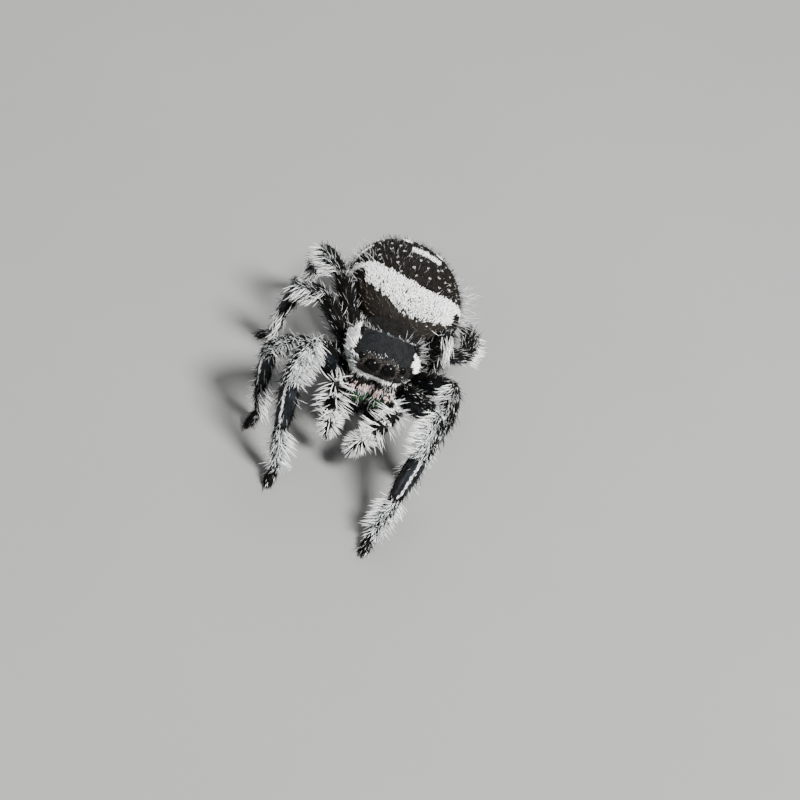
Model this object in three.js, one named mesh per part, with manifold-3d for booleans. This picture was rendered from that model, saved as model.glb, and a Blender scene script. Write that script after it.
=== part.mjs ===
// A jumping spider standing on the floor, life size, in millimetres.
// +Z is up, the floor is at z = 0, the face looks towards -Y and the spider's left side is at +X.
import * as THREE from 'three';
import { mergeVertices } from 'three/addons/utils/BufferGeometryUtils.js';
import Module from 'manifold-3d';

const wasm = await Module();
wasm.setup();

// ---------- driving sizes ----------
const gap = 0.03;                        // between neighbours that touch in life
const sides = { left: 1, right: -1 };    // sign of X on each side
const standAt = [0.79, -0.42];           // moves the whole spider so that its outline is centred on Z

const head = {                           // carapace, origin on its axis at the level of the main eyes
  length: 5.3,
  height: 5.62,                          // of that origin above the floor
  noseUp: 4,                             // degrees
  bluntness: [6, 2.8],                   // of the front and back ends, 2 is an ellipse
  square: 2.5,                           // of the cross-section, 2 is an ellipse
  lean: 0.2,                             // how far the flanks draw in towards the top
  stations: [                            // y, half width, top, bottom
    [-2.65, 1.62, 0.6, -0.86],
    [-1.9, 1.92, 0.9, -1.3],
    [-0.4, 2.2, 1.14, -1.95],
    [0.7, 2.24, 0.92, -2.1],
    [1.7, 2.0, -0.05, -2.15],
    [2.65, 1.2, -1.15, -2.2],
  ],
};

const eyes = {                           // x, y, z of the centre from the head's origin, and the radius
  main: { at: [0.46, -2.42, 0.0], radius: 0.42 },
  side: { at: [1.14, -2.2, 0.14], radius: 0.26 },
  small: { at: [1.54, -1.38, 0.45], radius: 0.12 },
  rear: { at: [1.5, -0.62, 0.6], radius: 0.22 },
};

const belly = {                          // abdomen
  centre: [0.29, 6.78, 3.24],
  half: [3.62, 4.2, 2.86],
  turn: 5.7, dip: -10.5, roll: 11.7,     // degrees about Z, X and Y
  bluntness: 2.25,
};

const pedicel = { from: [0.05, 2.2, 3.5], to: [0.12, 3.3, 3.55], radius: 0.42 };
const spinnerets = {                     // four cones round the tail of the abdomen
  count: 4, length: 0.85, radius: 0.26, taper: 0.75,
  ring: 0.18, splay: 0.075,              // radius of their ring, and how far their tips part more
  sunk: 0.18, below: 0.35, drop: 0.45,   // into the tail, under its point, and the slope of the cones
};
const breast = { centre: [0, 0.55, 3.02], half: [0.78, 2.0, 0.34] };      // sternum
const mouth = { centre: [0, -1.75, 3.0], half: [0.82, 0.62, 0.42] };      // endites and lip

const jaw = {                            // chelicera, the basal piece
  top: [0.68, -2.12, 4.75], bottom: [0.64, -2.42, 2.9],
  wide: [0.66, 0.62], deep: [0.62, 0.5],
};
const fang = { root: [0.78, -2.4, 2.45], tip: [0.3, -2.2, 2.17], radius: [0.15, 0.05] };

const palp = {                           // joints of a palp: out from the midline, y, z
  base: [0.95, -1.95, 3.1],
  up: [0, -0.5, 0.85],
  radius: { thigh: 0.36, knee: 0.44, shin: 0.46, tip: 0.56, end: 0.48 },
  left: [[1.84, -3.18, 3.66], [1.42, -3.9, 3.3], [0.8, -4.42, 2.66], [0.1, -5.02, 1.68]],
  right: [[1.94, -2.95, 4.02], [1.72, -3.34, 3.54], [1.54, -3.94, 2.78], [1.38, -4.44, 1.72]],
};

const hip = { out: [1.75, 1.95, 1.95, 1.75], y: [-1.15, 0.0, 1.12, 2.1], z: 3.42, root: [0.85, 3.05] };
const bends = [1, 0.15, -0.65];          // share of the bend after the patella, tibia and metatarsus
const leanOut = 0.35;                    // of a leg's plane, for each unit of height
const soleRise = 0.05;                   // axis of the tarsus above the floor at its end
const legs = [                           // lengths of femur, patella, tibia, metatarsus, tarsus
  { long: [3.6, 2.45, 2.75, 2.05, 1.3], stout: 1 },
  { long: [3.4, 1.8, 2.1, 1.7, 1.15], stout: 0.88 },
  { long: [3.1, 1.5, 1.9, 1.9, 1.1], stout: 0.84 },
  { long: [3.6, 1.7, 2.4, 2.6, 1.2], stout: 0.86 },
];
const stout = {                          // half thickness of a front leg along its segments
  hip: 0.5, thigh: 0.66, thighTall: 0.84, knee: 0.62, patella: 0.66, tibia: 0.66, ankle: 0.5, tarsus: 0.36,
};
const pose = {                           // femur ahead of straight out, femur lift, foot out, foot y
  left: [[50, 24, 2.55, -10.4], [35, 37, 3.7, -4.9], [-14, 71, 3.3, 2.4], [-32, -5, 4.05, 11.0]],
  right: [[38, 42, 3.45, -8.2], [27, 16, 5.6, -4.6], [-28, 33, 6.75, 2.7], [-50, 30, 5.85, 8.5]],
};

const segment = { bluntness: 2.6, overhang: 0.55 };    // of a segment's ends, and their reach in half widths
const divisions = {                      // of each sphere that is pulled to shape: around, lengthwise
  head: [20, 12], belly: [22, 14], breast: [12, 8], mouth: [10, 6], eye: [9, 6],
  jaw: [12, 5], limb: [8, 5],
};
const skyward = [0, 0, 1];
const faceward = [0, -1, 0];
const tiny = 1e-4;                       // a point this near a pole is the pole

// ---------- colours ----------
const finish = {
  black: new THREE.MeshStandardMaterial({ color: 0x1b1a1c, roughness: 0.75 }),
  white: new THREE.MeshStandardMaterial({ color: 0xd8d8d2, roughness: 0.9 }),
  green: new THREE.MeshStandardMaterial({ color: 0x1f5a40, roughness: 0.3, metalness: 0.6 }),
  grey: new THREE.MeshStandardMaterial({ color: 0x5b5854, roughness: 0.85 }),
  horn: new THREE.MeshStandardMaterial({ color: 0x2a1410, roughness: 0.25 }),
  eye: new THREE.MeshStandardMaterial({ color: 0x0b0808, roughness: 0.05 }),
};

// ---------- small helpers ----------
const vec = (v) => new THREE.Vector3(...v);
const radians = THREE.MathUtils.degToRad;
const mirrored = ([x, y, z], side) => vec([x * sides[side], y, z]);

// Value of a table at y, on a curve through its rows; the first column is y.
function along(table, y) {
  const last = table.length - 1;
  const i = Math.max(0, Math.min(last - 1, table.findIndex((row) => row[0] > y) - 1));
  const row = (k) => table[Math.max(0, Math.min(last, k))];
  const step = row(i + 1)[0] - row(i)[0];
  const t = Math.max(0, Math.min(1, (y - row(i)[0]) / step));
  return row(i).slice(1).map((p, c) => {
    const slope = (k) => (row(k + 1)[c + 1] - row(k - 1)[c + 1]) / (row(k + 1)[0] - row(k - 1)[0]) * step;
    const q = row(i + 1)[c + 1];
    const a = slope(i);
    const b = slope(i + 1);
    return p + t * (a + t * (3 * (q - p) - 2 * a - b + t * (a + b - 2 * (q - p))));
  });
}

const dome = (t, power) => Math.pow(Math.max(0, 1 - Math.pow(Math.abs(t), power)), 1 / power);
const squared = (c, power) => Math.sign(c) * Math.pow(Math.abs(c), 2 / power);

// A sphere with its poles on Y, pulled to shape: place(t, c, s) gets the place along the axis
// from -1 to 1, the direction round it and its distance from the axis, and returns the point.
function pulled([around, lengthwise], place) {
  let geometry = new THREE.SphereGeometry(1, around, lengthwise);
  geometry.deleteAttribute('normal');
  geometry.deleteAttribute('uv');
  geometry = mergeVertices(geometry, tiny);
  const position = geometry.attributes.position;
  for (let i = 0; i < position.count; i++) {
    const [x, y, z] = [position.getX(i), position.getY(i), position.getZ(i)];
    const radius = Math.hypot(x, z);
    const pole = radius < tiny;
    const point = place(y, pole ? 0 : x / radius, pole ? 0 : z / radius, radius);
    position.setXYZ(i, point.x, point.y, point.z);
  }
  return geometry;
}

function solid(geometry) {
  const mesh = new wasm.Mesh({
    numProp: 3,
    vertProperties: new Float32Array(geometry.attributes.position.array),
    triVerts: new Uint32Array(geometry.index.array),
  });
  return new wasm.Manifold(mesh);
}

function meshFrom(manifold, name, material) {
  const { vertProperties, triVerts } = manifold.getMesh();
  const geometry = new THREE.BufferGeometry();
  geometry.setAttribute('position', new THREE.BufferAttribute(new Float32Array(vertProperties), 3));
  geometry.setIndex(new THREE.BufferAttribute(new Uint32Array(triVerts), 1));
  geometry.computeVertexNormals();
  const mesh = new THREE.Mesh(geometry, material);
  mesh.name = name;
  return mesh;
}

const ellipsoid = (centre, half, grow, fineness) => solid(
  pulled(fineness, (t, c, s, r) => new THREE.Vector3(
    centre[0] + (half[0] + grow) * c * r,
    centre[1] + (half[1] + grow) * t,
    centre[2] + (half[2] + grow) * s * r,
  )),
);

// One segment of a limb from a to b: half thickness wide across and tall along up, at both ends.
function limb(a, b, up, wide, tall = wide, fineness = divisions.limb, grow = 0) {
  const axis = b.clone().sub(a);
  const length = axis.length();
  axis.normalize();
  const across = new THREE.Vector3().crossVectors(axis, up).normalize();
  const over = new THREE.Vector3().crossVectors(across, axis);
  const round = (t, at) => (t < 0 ? at[0] : at[1]);
  return solid(pulled(fineness, (t, c, s) => {
    const share = (1 + t) / 2;
    const mix = (at) => THREE.MathUtils.lerp(at[0], at[1], share) + grow;
    const full = dome(t, segment.bluntness);
    const overhang = t * round(t, wide) * segment.overhang;
    return a.clone().addScaledVector(axis, share * length + overhang)
      .addScaledVector(across, c * full * mix(wide))
      .addScaledVector(over, s * full * mix(tall));
  }));
}

// ---------- the head ----------
const headFrame = new THREE.Matrix4().makeRotationX(radians(-head.noseUp)).setPosition(0, 0, head.height);
const fromHead = (v) => vec(v).applyMatrix4(headFrame);

function headSolid(grow = 0) {
  const half = head.length / 2;
  return solid(pulled(divisions.head, (t, c, s) => {
    const [wide, top, bottom] = along(head.stations, t * half);
    const full = dome(t, head.bluntness[t < 0 ? 0 : 1]);
    const middle = (top + bottom) / 2;
    const tall = (top - bottom) / 2;
    const over = squared(s, head.square);
    const drawnIn = 1 - head.lean * Math.max(0, over);
    return fromHead([
      squared(c, head.square) * (wide * drawnIn + grow) * full,
      t * (half + grow),
      middle + over * (tall + grow) * full,
    ]);
  }));
}

const ball = (centre, radius) => ellipsoid(centre.toArray(), [radius, radius, radius], 0, divisions.eye);

function eyePlaces() {
  return Object.entries(eyes).flatMap(([name, { at, radius }]) => Object.keys(sides).map((side) => {
    const [x, y, z] = at;
    return { name: `eye_${name}_${side}`, centre: fromHead([x * sides[side], y, z]), radius };
  }));
}

function carapace() {
  const sockets = eyePlaces().map(({ centre, radius }) => ball(centre, radius + gap));
  return sockets.reduce((body, socket) => body.subtract(socket), headSolid());
}

// ---------- the abdomen ----------
const bellyFrame = new THREE.Matrix4()
  .makeRotationZ(radians(belly.turn))
  .multiply(new THREE.Matrix4().makeRotationX(radians(belly.dip)))
  .multiply(new THREE.Matrix4().makeRotationY(radians(belly.roll)))
  .setPosition(...belly.centre);

function bellySolid(grow = 0) {
  const [wide, long, tall] = belly.half;
  return solid(pulled(divisions.belly, (t, c, s) => {
    const full = dome(t, belly.bluntness);
    const point = new THREE.Vector3((wide + grow) * c * full, (long + grow) * t, (tall + grow) * s * full);
    return point.applyMatrix4(bellyFrame);
  }));
}

function spinneretCluster() {
  const { length, radius, taper, ring, splay, sunk, below } = spinnerets;
  const tail = new THREE.Vector3(0, belly.half[1] - sunk, -below).applyMatrix4(bellyFrame);
  const back = new THREE.Vector3(0, 1, -spinnerets.drop).transformDirection(bellyFrame);
  const cones = [];
  for (let i = 0; i < spinnerets.count; i++) {
    const turn = (i + 0.5) / spinnerets.count * Math.PI * 2;
    const start = tail.clone();
    start.x += Math.cos(turn) * ring;
    start.z += Math.sin(turn) * ring;
    const end = start.clone().addScaledVector(back, length);
    end.x += Math.cos(turn) * splay;
    cones.push(limb(start, end, vec(skyward), [radius, radius * taper]));
  }
  return wasm.Manifold.union(cones).subtract(bellySolid(gap));
}

// ---------- jaws and palps ----------
function jawSolid(side, grow = 0) {
  const [top, bottom] = [mirrored(jaw.top, side), mirrored(jaw.bottom, side)];
  const body = limb(top, bottom, vec(faceward), jaw.wide, jaw.deep, divisions.jaw, grow);
  const inner = Math.max(0, gap / 2 - grow) * sides[side];
  return body.trimByPlane([sides[side], 0, 0], Math.abs(inner)).subtract(headSolid(gap));
}

function fangSolid(side) {
  const body = limb(mirrored(fang.root, side), mirrored(fang.tip, side), vec(faceward), fang.radius);
  return body.subtract(jawSolid(side, gap));
}

function palpPieces(side) {
  const joints = [palp.base, ...palp[side]].map((point) => mirrored(point, side));
  const radii = Object.values(palp.radius);
  const segments = joints.slice(1).map((joint, i) => (
    limb(joints[i], joint, vec(palp.up), [radii[i], radii[i + 1]])));
  const neighbours = [headSolid(gap), mouthSolid(gap), jawSolid('left', gap), jawSolid('right', gap)];
  return jointed(joints, segments, [1]).map((body) => neighbours.reduce((b, c) => b.subtract(c), body));
}

const breastSolid = (grow = 0) => ellipsoid(breast.centre, breast.half, grow, divisions.breast);
const mouthSolid = (grow = 0) => ellipsoid(mouth.centre, mouth.half, grow, divisions.mouth);

// ---------- a limb of several segments, parted at some of its joints ----------
// Segment i runs from joints[i] to joints[i + 1]. A thin cut follows each segment named in cutAfter,
// square to the mean direction at that joint, and each length between cuts comes back as one solid.
function jointed(joints, segments, cutAfter) {
  const heading = (i) => joints[i + 1].clone().sub(joints[i]).normalize();
  const lengths = [[]];
  segments.forEach((segment, i) => {
    let body = segment;
    if (cutAfter.includes(i - 1)) {
      const normal = heading(i - 1).add(heading(i)).normalize();
      body = body.trimByPlane(normal.toArray(), normal.dot(joints[i]) + gap / 2);
      lengths.push([]);
    }
    if (cutAfter.includes(i)) {
      const normal = heading(i).add(heading(i + 1)).normalize().negate();
      body = body.trimByPlane(normal.toArray(), normal.dot(joints[i + 1]) + gap / 2);
    }
    lengths.at(-1).push(body);
  });
  return lengths.map((bodies) => wasm.Manifold.union(bodies));
}

// ---------- the legs ----------
// Lays the outer segments from the knee to the foot: the bends grow until the chain just reaches.
function bentToReach(knee, foot, lengths, plane) {
  const chord = foot.clone().sub(knee);
  const reach = chord.length();
  const chain = (bend) => {
    let [angle, x, y] = [0, 0, 0];
    return lengths.map((length, i) => {
      angle -= i ? bends[i - 1] * bend : 0;
      x += length * Math.cos(angle);
      y += length * Math.sin(angle);
      return [x, y];
    });
  };
  let [low, high] = [0, 2];
  const halvings = 40;
  for (let i = 0; i < halvings; i++) {
    const bend = (low + high) / 2;
    if (Math.hypot(...chain(bend).at(-1)) > reach) low = bend;
    else high = bend;
  }
  const points = chain(low);
  const [endX, endY] = points.at(-1);
  const forward = chord.clone().normalize();
  const rise = plane.clone().addScaledVector(forward, -plane.dot(forward)).normalize();
  const turn = -Math.atan2(endY, endX);
  return points.map(([x, y]) => knee.clone()
    .addScaledVector(forward, x * Math.cos(turn) - y * Math.sin(turn))
    .addScaledVector(rise, x * Math.sin(turn) + y * Math.cos(turn)));
}

function legJoints(number, side) {
  const [forwards, lift, footOut, footY] = pose[side][number];
  const [femur, ...outer] = legs[number].long;
  const sign = sides[side];
  const start = new THREE.Vector3(sign * hip.out[number], hip.y[number], hip.z);
  const level = Math.cos(radians(lift)) * femur;
  const knee = start.clone().add(new THREE.Vector3(
    sign * level * Math.cos(radians(forwards)),
    -level * Math.sin(radians(forwards)),
    femur * Math.sin(radians(lift)),
  ));
  const foot = new THREE.Vector3(sign * footOut, footY, soleRise);
  const plane = new THREE.Vector3(sign * leanOut, 0, 1);
  const root = new THREE.Vector3(sign * hip.root[0], hip.y[number], hip.root[1]);
  return { root, hip: start, knee, plane, outer: bentToReach(knee, foot, outer, plane) };
}

function legPieces(number, side) {
  const { root, hip: start, knee, plane, outer } = legJoints(number, side);
  const [patella, tibia, metatarsus, foot] = outer;
  const k = legs[number].stout;
  const thick = (...keys) => keys.map((key) => stout[key] * k);
  const segments = [
    limb(root, start, plane, thick('hip', 'hip')),
    limb(start, knee, plane, thick('thigh', 'knee'), thick('thighTall', 'knee')),
    limb(knee, patella, plane, thick('knee', 'patella')),
    limb(patella, tibia, plane, thick('tibia', 'ankle')),
    limb(tibia, metatarsus, plane, thick('ankle', 'tarsus')),
    limb(metatarsus, foot, plane, thick('tarsus', 'tarsus')),
  ];
  return jointed([root, start, knee, ...outer], segments, [1, 3]).map((body) => (
    body.trimByPlane([0, 0, 1], 0).subtract(headSolid(gap)).subtract(breastSolid(gap))
      .subtract(mouthSolid(gap))));
}

// ---------- assembly ----------
const spider = new THREE.Group();
spider.position.set(standAt[0], standAt[1], 0);

function put(manifold, name, material) {
  spider.add(meshFrom(manifold, name, material));
}

put(carapace(), 'carapace', finish.black);
put(bellySolid(), 'abdomen', finish.black);
put(
  breastSolid().add(mouthSolid()).subtract(headSolid(gap)).subtract(jawSolid('left', gap))
    .subtract(jawSolid('right', gap)),
  'sternum_and_mouth', finish.grey,
);
put(
  limb(vec(pedicel.from), vec(pedicel.to), vec(skyward), [pedicel.radius, pedicel.radius])
    .subtract(headSolid(gap)).subtract(bellySolid(gap)).subtract(breastSolid(gap)),
  'pedicel', finish.grey,
);
put(spinneretCluster(), 'spinnerets', finish.grey);

for (const { name, centre, radius } of eyePlaces()) {
  put(ball(centre, radius), name, finish.eye);
}

for (const side of Object.keys(sides)) {
  put(jawSolid(side), `chelicera_${side}`, finish.green);
  put(fangSolid(side), `fang_${side}`, finish.horn);
  palpPieces(side).forEach((piece, i) => {
    put(piece, `palp_${side}_${['upper', 'lower'][i]}`, finish.white);
  });
  legs.forEach((leg, number) => {
    legPieces(number, side).forEach((piece, i) => {
      const part = ['femur', 'shin', 'foot'][i];
      put(piece, `leg_${number + 1}_${side}_${part}`, part === 'foot' ? finish.white : finish.black);
    });
  });
}

export default spider;
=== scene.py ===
# The looks of the jumping spider. Shapes are in millimetres until they are scaled to metres.
import math

import bpy
import numpy as np
from mathutils import Euler, Matrix, Vector, kdtree, noise


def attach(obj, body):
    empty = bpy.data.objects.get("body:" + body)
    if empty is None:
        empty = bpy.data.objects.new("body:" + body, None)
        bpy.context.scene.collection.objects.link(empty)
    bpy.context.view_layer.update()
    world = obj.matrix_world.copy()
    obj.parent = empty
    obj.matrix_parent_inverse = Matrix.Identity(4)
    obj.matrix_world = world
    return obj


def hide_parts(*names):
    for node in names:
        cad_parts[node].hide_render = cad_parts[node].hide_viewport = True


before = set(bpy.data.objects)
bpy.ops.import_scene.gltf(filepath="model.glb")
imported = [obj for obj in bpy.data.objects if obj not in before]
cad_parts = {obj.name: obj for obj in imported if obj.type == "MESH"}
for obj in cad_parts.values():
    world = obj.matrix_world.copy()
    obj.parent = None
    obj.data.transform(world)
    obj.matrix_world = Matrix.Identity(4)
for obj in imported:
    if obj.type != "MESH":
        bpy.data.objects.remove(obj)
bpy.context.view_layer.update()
metres = 0.001
sides = {"left": 1, "right": -1}
standAt = np.array([0.79, -0.42, 0.0])  # as in the CAD part

fineness = {  # rings and corners per ring of each kind of shape
    "ball": (28, 36), "head": (72, 96), "belly": (96, 120), "limb": (28, 28), "hook": (12, 10),
}


def dome(t, power):
    return np.maximum(0, 1 - np.abs(t) ** power) ** (1 / power)


def squared(c, power):
    return np.sign(c) * np.abs(c) ** (2 / power)


def along(rows, y):
    # values of a table at each y, on a curve through its rows
    table = np.array(rows, float)
    ys, values = table[:, 0], table[:, 1:]
    slope = np.gradient(values, ys, axis=0)
    slope[1:-1] = (values[2:] - values[:-2]) / (ys[2:] - ys[:-2])[:, None]
    i = np.clip(np.searchsorted(ys, y, side="right") - 1, 0, len(ys) - 2)
    step = (ys[i + 1] - ys[i])[:, None]
    t = np.clip((y - ys[i])[:, None] / step, 0, 1)
    p, q = values[i], values[i + 1]
    a, b = slope[i] * step, slope[i + 1] * step
    return (p + t * (a + t * (3 * (q - p) - 2 * a - b + t * (a + b - 2 * (q - p))))).T


def ringEdges(rings, around):
    # the two corners of each edge, ring after ring
    return [(r * around + k, r * around + (k + 1) % around) for r in range(rings) for k in range(around)]


def gridFaces(rings, around):
    # quads of a closed tube of rings, with a pole vertex at each end
    faces = [(a, b, b + around, a + around) for a, b in ringEdges(rings - 1, around)]
    pole, last = rings * around, (rings - 1) * around
    for a, b in ringEdges(1, around):
        faces += [(pole, b, a), (pole + 1, last + a, last + b)]
    return faces


def pulled(place, rings, around):
    # a sphere with its poles on the local Y axis, pulled to shape by place(t, c, s)
    polar = (np.arange(rings) + 0.5) / rings * np.pi
    turn = np.arange(around) / around * 2 * np.pi
    t = np.repeat(-np.cos(polar), around)
    c = np.tile(np.cos(turn), rings)
    s = np.tile(np.sin(turn), rings)
    body = place(t, c, s)
    poles = place(np.array([-1.0, 1.0]), np.zeros(2), np.zeros(2))
    return np.vstack([body, poles]), gridFaces(rings, around)


def ellipsoid(centre, half):
    def place(t, c, s):
        return np.stack([c * dome(t, 2), t, s * dome(t, 2)], 1) * np.array(half) + np.array(centre)

    return pulled(place, *fineness["ball"])


parts = []  # every fleshy piece: its mesh, its axes and what it is


def addPart(kind, shape, origin, axes, **more):
    points, faces = shape
    parts.append({
        "kind": kind, "points": points + standAt, "faces": faces,
        "origin": np.array(origin) + standAt, "axes": np.array(axes), **more,
    })


# the head, with sizes in its own axes: x to its left, y to its back, z up; all match the solids
head = {
    "length": 5.3, "height": 5.62, "noseUp": 4, "bluntness": (6, 2.8), "square": 2.5, "lean": 0.2,
    "coat": 0.07,  # depth of the hair outside the skin
    "stations": [  # y, half width, top, bottom
        (-2.65, 1.62, 0.6, -0.86),
        (-1.9, 1.92, 0.9, -1.3),
        (-0.4, 2.2, 1.14, -1.95),
        (0.7, 2.24, 0.92, -2.1),
        (1.7, 2.0, -0.05, -2.15),
        (2.65, 1.2, -1.15, -2.2),
    ],
}
eyes = {
    "main": {"at": (0.46, -2.42, 0.0), "radius": 0.42, "look": (0.08, -1.0, 0.05)},
    "side": {"at": (1.14, -2.2, 0.14), "radius": 0.26, "look": (0.35, -0.9, 0.15)},
    "small": {"at": (1.54, -1.38, 0.45), "radius": 0.12, "look": (0.8, -0.3, 0.5)},
    "rear": {"at": (1.5, -0.62, 0.6), "radius": 0.22, "look": (0.75, 0.15, 0.6)},
}
socket = {"wider": 1.12, "deeper": 0.3}  # of the swelling that each eye sits in, in eye radii
headTurn = np.array(Euler((math.radians(-head["noseUp"]), 0, 0)).to_matrix())
headAt = np.array([0, 0, head["height"]])


def fromHead(points):
    return np.asarray(points) @ headTurn.T + headAt


def headShape():
    half = head["length"] / 2
    coat = head["coat"]

    def place(t, c, s):
        wide, top, bottom = along(head["stations"], t * half)
        power = np.where(t < 0, head["bluntness"][0], head["bluntness"][1])
        full = dome(t, power)
        middle, tall = (top + bottom) / 2, (top - bottom) / 2
        over = squared(s, head["square"])
        drawnIn = 1 - head["lean"] * np.maximum(0, over)
        x = squared(c, head["square"]) * (wide * drawnIn - coat) * full
        z = middle + over * (tall - coat) * full
        return fromHead(np.stack([x, t * (half - coat), z], 1))

    return pulled(place, *fineness["head"])


def socketShape(eye, sign):
    radius = eye["radius"]
    centre = np.array(eye["at"]) - np.array(eye["look"]) * radius * socket["deeper"]
    return ellipsoid(fromHead(centre * (sign, 1, 1)), [radius * socket["wider"]] * 3)


addPart("head", headShape(), headAt, headTurn)
for sign in sides.values():
    for eye in eyes.values():
        addPart("head", socketShape(eye, sign), headAt, headTurn)


# the abdomen
belly = {
    "centre": (0.29, 6.78, 3.24), "half": (3.62, 4.2, 2.86), "turn": 5.7, "dip": -10.5, "roll": 11.7,
    "bluntness": 2.25, "coat": 0.12,
}
turn, dip, roll = (Matrix.Rotation(math.radians(belly[key]), 3, axis)
                   for key, axis in (("turn", "Z"), ("dip", "X"), ("roll", "Y")))
bellyTurn = np.array(turn @ dip @ roll)
bellyAt = np.array(belly["centre"])


def bellyShape():
    half = np.array(belly["half"]) - belly["coat"]

    def place(t, c, s):
        full = dome(t, belly["bluntness"])
        local = np.stack([half[0] * c * full, half[1] * t, half[2] * s * full], 1)
        return local @ bellyTurn.T + bellyAt

    return pulled(place, *fineness["belly"])


addPart("belly", bellyShape(), bellyAt, bellyTurn)

limbEnds = {"blunt": 2.6, "overhang": 0.55}  # power of the dome, and reach past the joint in radii


def limbAxes(a, b, up):
    axis = (b - a) / np.linalg.norm(b - a)
    across = np.cross(axis, up)
    across /= np.linalg.norm(across)
    return np.stack([across, axis, np.cross(across, axis)], 1)


def limbShape(a, b, up, wide, tall, coat):
    # a limb from a to b, as thick as the pairs of radii across and upwards say, less its coat
    axes = limbAxes(a, b, up)
    length = np.linalg.norm(b - a)

    def place(t, c, s):
        share = (1 + t) / 2
        full = dome(t, limbEnds["blunt"])
        overhang = t * np.where(t < 0, wide[0], wide[1]) * limbEnds["overhang"]
        local = np.stack([
            c * full * (wide[0] + (wide[1] - wide[0]) * share - coat),
            share * length + overhang,
            s * full * (tall[0] + (tall[1] - tall[0]) * share - coat),
        ], 1)
        return local @ axes.T + a

    return pulled(place, *fineness["limb"])


def addLimb(kind, a, b, up, wide, tall=None, coat=0.0, **more):
    a, b, up = np.array(a, float), np.array(b, float), np.array(up, float)
    addPart(kind, limbShape(a, b, up, wide, tall or wide, coat), a, limbAxes(a, b, up),
            length=np.linalg.norm(b - a), **more)


def mirrored(point, sign):
    return np.array([point[0] * sign, point[1], point[2]], float)


# what lies between and behind the legs
pedicel = {"from": (0.05, 2.0, 3.5), "to": (0.12, 3.4, 3.55), "radius": 0.42}
spinnerets = {
    "count": 4, "length": 0.85, "radius": 0.26, "taper": 0.7, "spread": 0.3, "drop": 0.45,
    "inside": 0.18, "low": 0.35, "root": 0.4, "ring": 0.6, "splay": 0.25, "coat": 0.03,
}
underside = {  # centre and half sizes, less a coat
    "breast": ((0, 0.55, 3.02), (0.78, 2.0, 0.34), 0.05),
    "mouth": ((0, -1.75, 3.0), (0.82, 0.62, 0.42), 0.05),
}

for centre, half, coat in underside.values():
    addPart("under", ellipsoid(centre, np.array(half) - coat), centre, np.eye(3))
addLimb("under", pedicel["from"], pedicel["to"], (0, 0, 1), (pedicel["radius"],) * 2)


def addSpinnerets():
    inBelly = [0, belly["half"][1] - spinnerets["inside"], -spinnerets["low"]]
    tail = np.array(inBelly) @ bellyTurn.T + bellyAt
    back = np.array([0, 1, -spinnerets["drop"]]) @ bellyTurn.T
    back /= np.linalg.norm(back)
    radius, spread = spinnerets["radius"], spinnerets["spread"]
    for i in range(spinnerets["count"]):
        turn = (i + 0.5) / spinnerets["count"] * 2 * math.pi
        start = tail + np.array([math.cos(turn), 0, math.sin(turn)]) * spread * spinnerets["ring"]
        end = start + back * spinnerets["length"]
        end[0] += math.cos(turn) * spread * spinnerets["splay"]
        addLimb("spinneret", start - back * spinnerets["root"], end, (0, 0, 1),
                (radius, radius * spinnerets["taper"]), coat=spinnerets["coat"])


addSpinnerets()

# jaws and palps
jaw = {
    "top": (0.68, -2.12, 4.75), "bottom": (0.64, -2.42, 2.9),
    "wide": (0.66, 0.62), "deep": (0.62, 0.5), "front": (0, -1, 0), "coat": 0.02,
}
palp = {
    "base": (0.95, -1.95, 3.1), "radii": (0.36, 0.44, 0.46, 0.56, 0.48), "coat": 0.14,
    "upper": (0, -0.5, 0.85),
    "left": [(1.84, -3.18, 3.66), (1.42, -3.9, 3.3), (0.8, -4.42, 2.66), (0.1, -5.02, 1.68)],
    "right": [(1.94, -2.95, 4.02), (1.72, -3.34, 3.54), (1.54, -3.94, 2.78), (1.38, -4.44, 1.72)],
}

for side, sign in sides.items():
    addLimb("jaw", mirrored(jaw["top"], sign), mirrored(jaw["bottom"], sign), jaw["front"],
            jaw["wide"], jaw["deep"], jaw["coat"], side=side)
    joints = [mirrored(point, sign) for point in [palp["base"], *palp[side]]]
    for i in range(4):
        addLimb("palp", joints[i], joints[i + 1], palp["upper"], palp["radii"][i:i + 2],
                coat=palp["coat"], side=side, segment=i)


# the legs, first pair first
hip = {"out": (1.75, 1.95, 1.95, 1.75), "y": (-1.15, 0.0, 1.12, 2.1), "z": 3.42, "root": (0.85, 3.05)}
legs = {
    "long": [  # femur, patella, tibia, metatarsus, tarsus
        (3.6, 2.45, 2.75, 2.05, 1.3),
        (3.4, 1.8, 2.1, 1.7, 1.15),
        (3.1, 1.5, 1.9, 1.9, 1.1),
        (3.6, 1.7, 2.4, 2.6, 1.2),
    ],
    "stout": (1, 0.88, 0.84, 0.86),
    "bends": (1, 0.15, -0.65),  # at the three outer joints, as shares
    "upper": (0.35, 0, 1),  # out, back and up: where a leg's upper side faces
    "soleRise": 0.05, "coat": 0.1,
    "radii": {  # at the root and at the end
        "coxa": (0.5, 0.5), "femur": (0.66, 0.62), "patella": (0.62, 0.66), "tibia": (0.66, 0.5),
        "metatarsus": (0.5, 0.36), "tarsus": (0.36, 0.36),
    },
    "tall": {"femur": (0.84, 0.62)},  # where a segment is taller than it is wide
    "left": [  # turned forward, raised, and the foot's place
        (50, 24, 2.55, -10.4), (35, 37, 3.7, -4.9), (-14, 71, 3.3, 2.4), (-32, -5, 4.05, 11.0),
    ],
    "right": [(38, 42, 3.45, -8.2), (27, 16, 5.6, -4.6), (-28, 33, 6.75, 2.7), (-50, 30, 5.85, 8.5)],
}


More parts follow.
